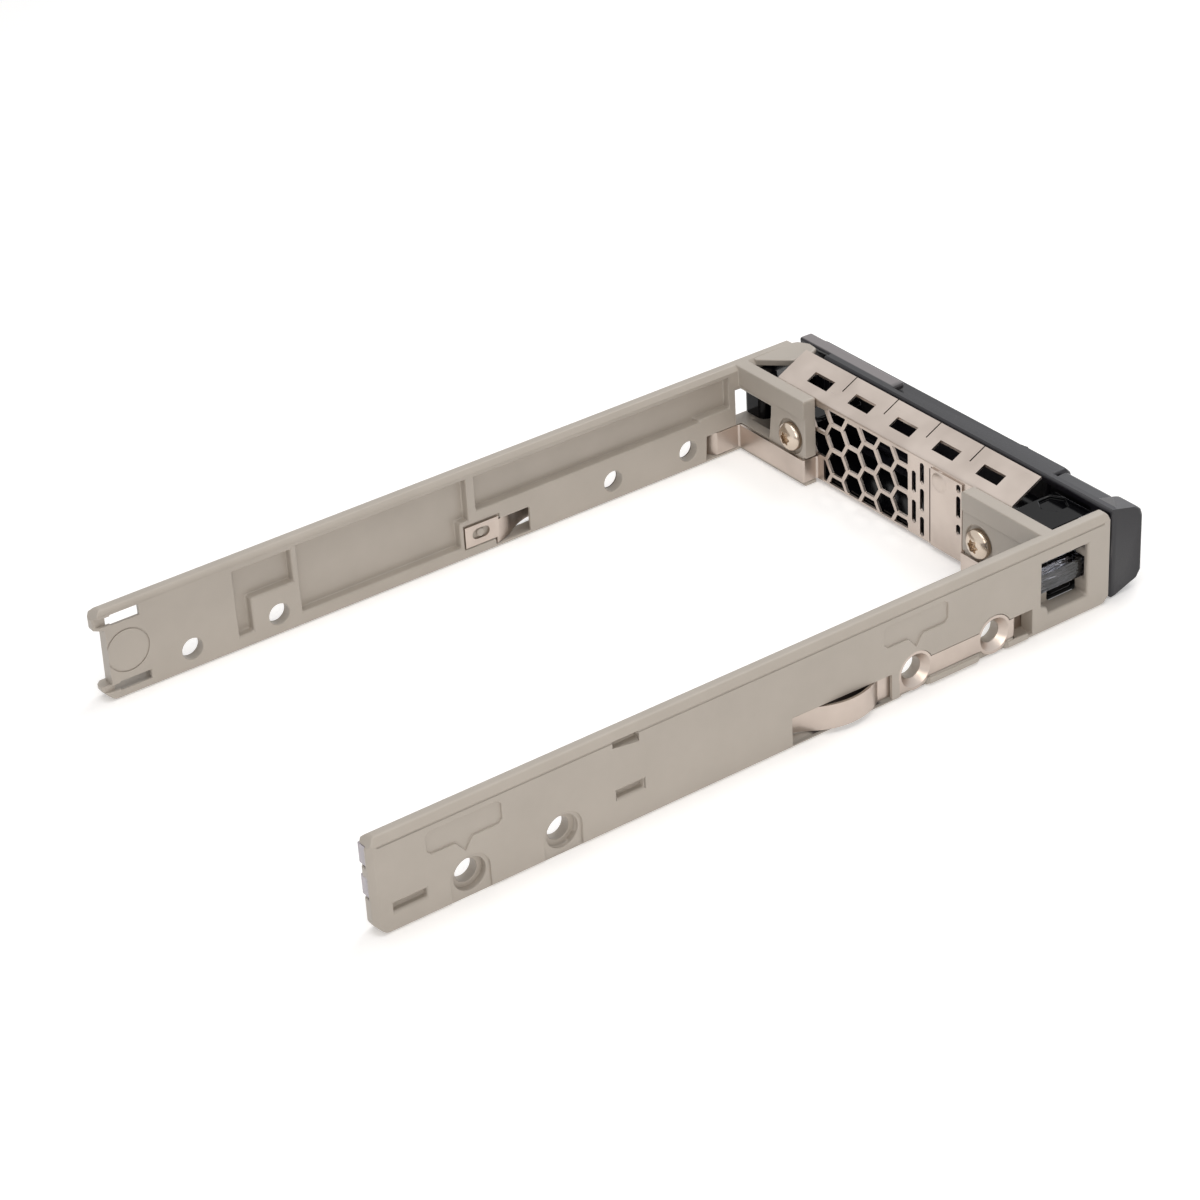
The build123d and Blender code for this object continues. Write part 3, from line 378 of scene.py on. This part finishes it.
def eased_copy(node, name, width_mm, body, material, even=False, work=None):
    """Copy of a CAD node with its doubles merged, its flat faces joined and its edges rounded.

    An even round is the same on every edge, which suits thin sheet and rod. Work is done before the
    rounding. A round can't stand past its CAD node: the few corner points that would are brought back
    to its box.
    """
    merge_mm, flat = 0.002, math.radians(0.5)
    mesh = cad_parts[node].data.copy()
    mesh.name = name
    piece = bpy.data.objects.new(name, mesh)
    form = bmesh.new()
    form.from_mesh(mesh)
    bmesh.ops.remove_doubles(form, verts=form.verts, dist=merge_mm * MM)
    if work:
        work(form)
    bmesh.ops.dissolve_limit(
        form, angle_limit=flat, verts=form.verts, edges=form.edges, delimit={"NORMAL"},
    )
    form.edges.index_update()
    if not even:
        weigh_edges(form, width_mm * MM)
    form.to_mesh(mesh)
    form.free()
    dress(piece, body, material)
    eased = piece.modifiers.new("eased_edges", "BEVEL")
    eased.width = width_mm * MM
    eased.segments = 3
    eased.limit_method = "ANGLE" if even else "WEIGHT"
    eased.angle_limit = SHARP
    eased.use_clamp_overlap = even
    low, high = (np.array(v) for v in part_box(node))
    with bpy.context.temp_override(object=piece, active_object=piece, selected_editable_objects=[piece]):
        bpy.ops.object.modifier_apply(modifier=eased.name)
    points = np.empty(len(piece.data.vertices) * 3, dtype=np.float32)
    piece.data.vertices.foreach_get("co", points)
    piece.data.vertices.foreach_set("co", np.clip(points.reshape(-1, 3), low, high).ravel())
    piece.data.update()
    weighted = piece.modifiers.new("flat_faces", "WEIGHTED_NORMAL")
    weighted.keep_sharp = True
    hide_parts(node)


def cut_slit(form):
    """Shears the narrow upright slit through the shield's plate, beside the plain band."""
    left, right, bottom, top = -8.74, -8.52, 0.95, 13.9
    square_on, near_mm = 0.99, 0.02

    def plate_faces():
        return [
            face for face in form.faces
            if abs(face.normal.y) > square_on
            and min(abs(face.verts[0].co.y / MM - y) for y in (PLATE_REAR_Y, PLATE_FRONT_Y)) < near_mm
        ]

    for point, across in (
        ((left, 0, 0), (1, 0, 0)), ((right, 0, 0), (1, 0, 0)),
        ((0, 0, bottom), (0, 0, 1)), ((0, 0, top), (0, 0, 1)),
    ):
        faces = plate_faces()
        parts = faces + list(dict.fromkeys(edge for face in faces for edge in face.edges))
        parts += list(dict.fromkeys(vertex for face in faces for vertex in face.verts))
        bmesh.ops.bisect_plane(
            form, geom=parts, dist=0.0005 * MM, plane_co=Vector(point) * MM, plane_no=across,
        )
    cell = []
    for face in plate_faces():
        middle = face.calc_center_median() / MM
        if left < middle.x < right and bottom < middle.z < top:
            cell.append(face)
    rims = dict.fromkeys(
        edge for face in cell for edge in face.edges if any(other not in cell for other in edge.link_faces)
    )
    bmesh.ops.delete(form, geom=cell, context="FACES")
    bmesh.ops.bridge_loops(form, edges=list(rims))


def mesh_object(name, points, faces):
    """Object from points and faces, with the faces turned outwards."""
    mesh = bpy.data.meshes.new(name)
    mesh.from_pydata(points.tolist(), [], faces)
    mesh.update()
    form = bmesh.new()
    form.from_mesh(mesh)
    bmesh.ops.recalc_face_normals(form, faces=form.faces)
    form.to_mesh(mesh)
    form.free()
    return bpy.data.objects.new(name, mesh)


def ring_faces(rings, sides, first=0):
    """Faces of a closed skin over that many rings of points: four-sided between rings, one on each end."""
    i, j = np.meshgrid(np.arange(rings - 1), np.arange(sides), indexing="ij")
    k = (j + 1) % sides
    quads = np.stack([i * sides + j, i * sides + k, (i + 1) * sides + k, (i + 1) * sides + j], -1)
    ends = np.stack([np.arange(sides), np.arange(sides) + (rings - 1) * sides])
    return (quads.reshape(-1, 4) + first).tolist() + (ends + first).tolist()


def tube_along(name, path, radius, sides=10):
    """Round wire: a circle of that radius carried along the path, square to its tangent.

    The circle starts at the level direction across the tangent. Where the wire of a coil about a level
    axis stands upright that start turns half round, and the wire is pinched there.
    """
    tangent = np.gradient(path, axis=0)
    tangent /= np.linalg.norm(tangent, axis=1, keepdims=True)
    across = np.cross(tangent, [0.0, 0.0, 1.0])
    weak = np.linalg.norm(across, axis=1) < 0.05
    across[weak] = np.cross(tangent[weak], [1.0, 0.0, 0.0])
    across /= np.linalg.norm(across, axis=1, keepdims=True)
    third = np.cross(tangent, across)
    turn = np.linspace(0, 2 * np.pi, sides, endpoint=False)
    ring = across[:, None] * np.cos(turn)[None, :, None] + third[:, None] * np.sin(turn)[None, :, None]
    points = (path[:, None] + radius * ring).reshape(-1, 3)
    return mesh_object(name, points, ring_faces(len(path), sides))


def coil(node, axis, turns, wire_mm, name):
    """Coil spring in the room of the node's sleeve, which it replaces: a circle that climbs its axis.

    The angle grows evenly along the wire. So does the distance along the axis, but for the two ends,
    which lie flat as on a closed spring.
    """
    flat_share, points_per_turn = 0.08, 28
    low, high = (np.array(v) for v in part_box(node))
    middle, size = (low + high) / 2, high - low
    wire = wire_mm * MM / 2
    radius = size[(axis + 1) % 3] / 2 - wire
    t = np.linspace(0, 1, turns * points_per_turn)
    climb = np.clip((t - flat_share) / (1 - 2 * flat_share), 0, 1)
    angle = 2 * np.pi * turns * t
    path = np.tile(middle, (len(t), 1))
    path[:, axis] = low[axis] + wire + climb * (size[axis] - 2 * wire)
    path[:, (axis + 1) % 3] += radius * np.cos(angle)
    path[:, (axis + 2) % 3] += radius * np.sin(angle)
    spring = tube_along(name, path, wire)
    dress(spring, "carrier", spring_wire)
    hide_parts(node)


def star_screws():
    """Two pan head screws with a six-lobed recess, one closed surface turned about each axis.

    Over the radius r the dome stands h * sqrt(1 - (r / b)^2) above a plane, with b a little more
    than the head's radius; the recess has the outline r = a * (1 + 0.16 * cos(6 * angle)).
    """
    low, high = (np.array(v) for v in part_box("tab_screws"))
    rear_y, front_y = high[1], low[1]
    centre_z = (low[2] + high[2]) / 2
    head_radius = (high[2] - low[2]) / 2
    head_height, shank_radius, lobe_radius, recess_depth = 1.9 * MM, 1.1 * MM, 0.98 * MM, 0.95 * MM
    point_length, dome_height = 0.3 * MM, head_height * 0.78
    turn = np.linspace(0, 2 * np.pi, 84, endpoint=False)
    lobe = lobe_radius * (1 + 0.16 * np.cos(6 * turn))
    reach = head_radius * 1.05

    def dome(radius):
        return rear_y - dome_height * (1 - np.sqrt(1 - (radius / reach) ** 2))

    floor_y, under_y = rear_y - recess_depth, rear_y - head_height
    rows = [(lobe * 0.12, floor_y), (lobe * 0.90, floor_y), (lobe, dome(lobe) - 0.05 * MM)]
    for share in np.linspace(0.04, 1.0, 12):
        radius = lobe + (head_radius - lobe) * share
        rows.append((radius, dome(radius)))
    rows += [
        (head_radius * 0.985, rear_y - head_height * 0.94), (head_radius * 0.93, under_y),
        (shank_radius, under_y), (shank_radius, front_y + point_length), (shank_radius * 0.75, front_y),
    ]
    radii, along = (np.stack([np.broadcast_to(row[n], turn.shape) for row in rows]) for n in (0, 1))
    points = np.concatenate([
        np.stack([centre_x + radii * np.cos(turn), along, centre_z + radii * np.sin(turn)], -1).reshape(-1, 3)
        for centre_x in (head_radius - high[0], high[0] - head_radius)
    ])
    faces = ring_faces(len(rows), len(turn)) + ring_faces(len(rows), len(turn), first=radii.size)
    piece = mesh_object("star_screws", points, faces)
    dress(piece, "carrier", screw_nickel)
    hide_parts("tab_screws")


def press_dimple():
    """Round dimple pressed out of the shield's plate, one closed surface turned about its own axis.

    At the share s of its radius it stands height * sqrt(1 - s^2) above the plate's rear face, lifted
    by a hair, and its rim is sunk into the sheet.
    """
    centre_x, centre_z, radius, height, sunk, lift = -11.1, 12.5, 1.9, 0.60, 0.05, 0.004
    turn = np.linspace(0, 2 * np.pi, 40, endpoint=False)
    share = np.linspace(1.0, 0.06, 14)
    rise = height * np.sqrt(1 - share ** 2) + lift
    ring, y = np.append(1.0, share)[:, None], np.append(-sunk, rise)[:, None]
    points = np.stack([
        centre_x + radius * ring * np.cos(turn), PLATE_REAR_Y + y + 0 * turn,
        centre_z + radius * ring * np.sin(turn),
    ], -1).reshape(-1, 3)
    piece = mesh_object("pressed_dimple", points * MM, ring_faces(len(ring), len(turn)))
    dress(piece, "carrier", shield_stainless)


press_dimple()
eased_copy("left_rail", "near_rail", 0.40, "carrier", rail_polycarbonate)
eased_copy("right_rail", "far_rail", 0.40, "carrier", rail_polycarbonate)
eased_copy("bezel_frame", "bezel_shell", 0.50, "carrier", bezel_abs)
eased_copy("lever", "ejector_lever", 0.50, "lever", bezel_abs)
eased_copy("release_button", "button_cap", 0.40, "button", button_abs)
eased_copy(
    "emi_shield", "folded_shield", 0.05, "carrier", shield_stainless,
    even=True, work=cut_slit,
)
star_screws()
eased_copy("light_pipe_lower", "clear_pipe_lower", 0.12, "carrier", pipe_clear, even=True)
eased_copy("light_pipe_upper", "clear_pipe_upper", 0.12, "carrier", pipe_clear, even=True)
coil("lever_spring", 2, 5, 0.5, "lever_coil")
coil("button_spring", 1, 6, 0.4, "button_coil")
for pin_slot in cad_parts["hinge_pin"].material_slots:
    pin_slot.material = pin_ground


# Floor, light and camera


def paper_floor():
    """Square sheet of white paper, a hair under the object."""
    half, drop = 700 * MM, 0.02 * MM
    ground = bpy.data.meshes.new("paper_floor")
    corners = [(-half, -half, 0), (half, -half, 0), (half, half, 0), (-half, half, 0)]
    ground.from_pydata(corners, [], [(0, 1, 2, 3)])
    floor = bpy.data.objects.new("paper_floor", ground)
    floor.location = (0, 0, -drop)
    bpy.context.scene.collection.objects.link(floor)
    ground.materials.append(white_paper())


def studio_world():
    """Plain white to the camera, in mirrors and through clear plastic, and a soft fill for the rest."""
    world = bpy.data.worlds.new("studio")
    bpy.context.scene.world = world
    world.use_nodes = True
    sky = world.node_tree
    sky.nodes.clear()
    rays = add(sky, "ShaderNodeLightPath").outputs
    direct = add(
        sky, "ShaderNodeMath", {0: rays["Is Camera Ray"], 1: rays["Is Glossy Ray"]}, operation="MAXIMUM",
    )
    seen = add(
        sky, "ShaderNodeMath", {0: direct.outputs[0], 1: rays["Is Transmission Ray"]}, operation="MAXIMUM",
    )
    soft = add(sky, "ShaderNodeBackground", Color=srgb("F2F4F8"), Strength=0.36)
    bright = add(sky, "ShaderNodeBackground", Color=srgb("FFFFFF"), Strength=1.0)
    choice = add(sky, "ShaderNodeMixShader", {0: seen.outputs[0], 1: soft.outputs[0], 2: bright.outputs[0]})
    add(sky, "ShaderNodeOutputWorld", {"Surface": choice.outputs[0]})


def softbox(name, place_mm, size_mm, watts, code):
    """Square lamp that looks at the middle of the carrier."""
    lamp = bpy.data.lights.new(name, "AREA")
    lamp.shape = "SQUARE"
    lamp.size = size_mm * MM
    lamp.energy = watts
    lamp.color = srgb(code)[:3]
    stand = bpy.data.objects.new(name, lamp)
    stand.location = [v * MM for v in place_mm]
    stand.rotation_euler = (-Vector(stand.location)).to_track_quat("-Z", "Y").to_euler()
    bpy.context.scene.collection.objects.link(stand)


def photo_camera():
    """Camera of the photograph: it stands behind the near rail and looks down over the bay.

    It stands at a distance from the point it aims at on the ground, on the line given by its azimuth
    from the front and its elevation, and is then rolled about that line.
    """
    azimuth, elevation, roll = (math.radians(v) for v in (235.89, 31.13, -3.45))
    distance, aim = 500.62, (11.44, forward(72.31))
    photo_side, sensor_mm = 1200, 36
    focal_pixels, centre = 3317.88, (603.94, 600.61)
    back = Vector((
        math.sin(azimuth) * math.cos(elevation), -math.cos(azimuth) * math.cos(elevation),
        math.sin(elevation),
    ))
    level = back.cross(Vector((0, 0, 1))).normalized() * -1
    upward = back.cross(level)
    right = math.cos(roll) * level + math.sin(roll) * upward
    up = -math.sin(roll) * level + math.cos(roll) * upward
    lens = bpy.data.cameras.new("photo_camera")
    lens.sensor_width = sensor_mm
    lens.lens = focal_pixels / photo_side * sensor_mm
    lens.shift_x = (photo_side / 2 - centre[0]) / photo_side
    lens.shift_y = (centre[1] - photo_side / 2) / photo_side
    lens.clip_start = 0.01
    camera = bpy.data.objects.new("photo_camera", lens)
    position = Vector((*aim, 0)) * MM + back * distance * MM
    camera.matrix_world = Matrix.Translation(position) @ Matrix((right, up, back)).transposed().to_4x4()
    bpy.context.scene.collection.objects.link(camera)
    bpy.context.scene.camera = camera


paper_floor()
studio_world()
softbox("overhead", (-80, 60, 620), 520, 1.9, "FFFDFA")
softbox("edge_light", (90, -300, 530), 170, 0.55, "FFFAF2")
softbox("near_side", (-620, 260, 330), 420, 1.3, "FFF6EC")
softbox("front_side", (200, -560, 380), 420, 0.9, "F6F8FF")
photo_camera()
bpy.context.scene.view_settings.view_transform = "Standard"
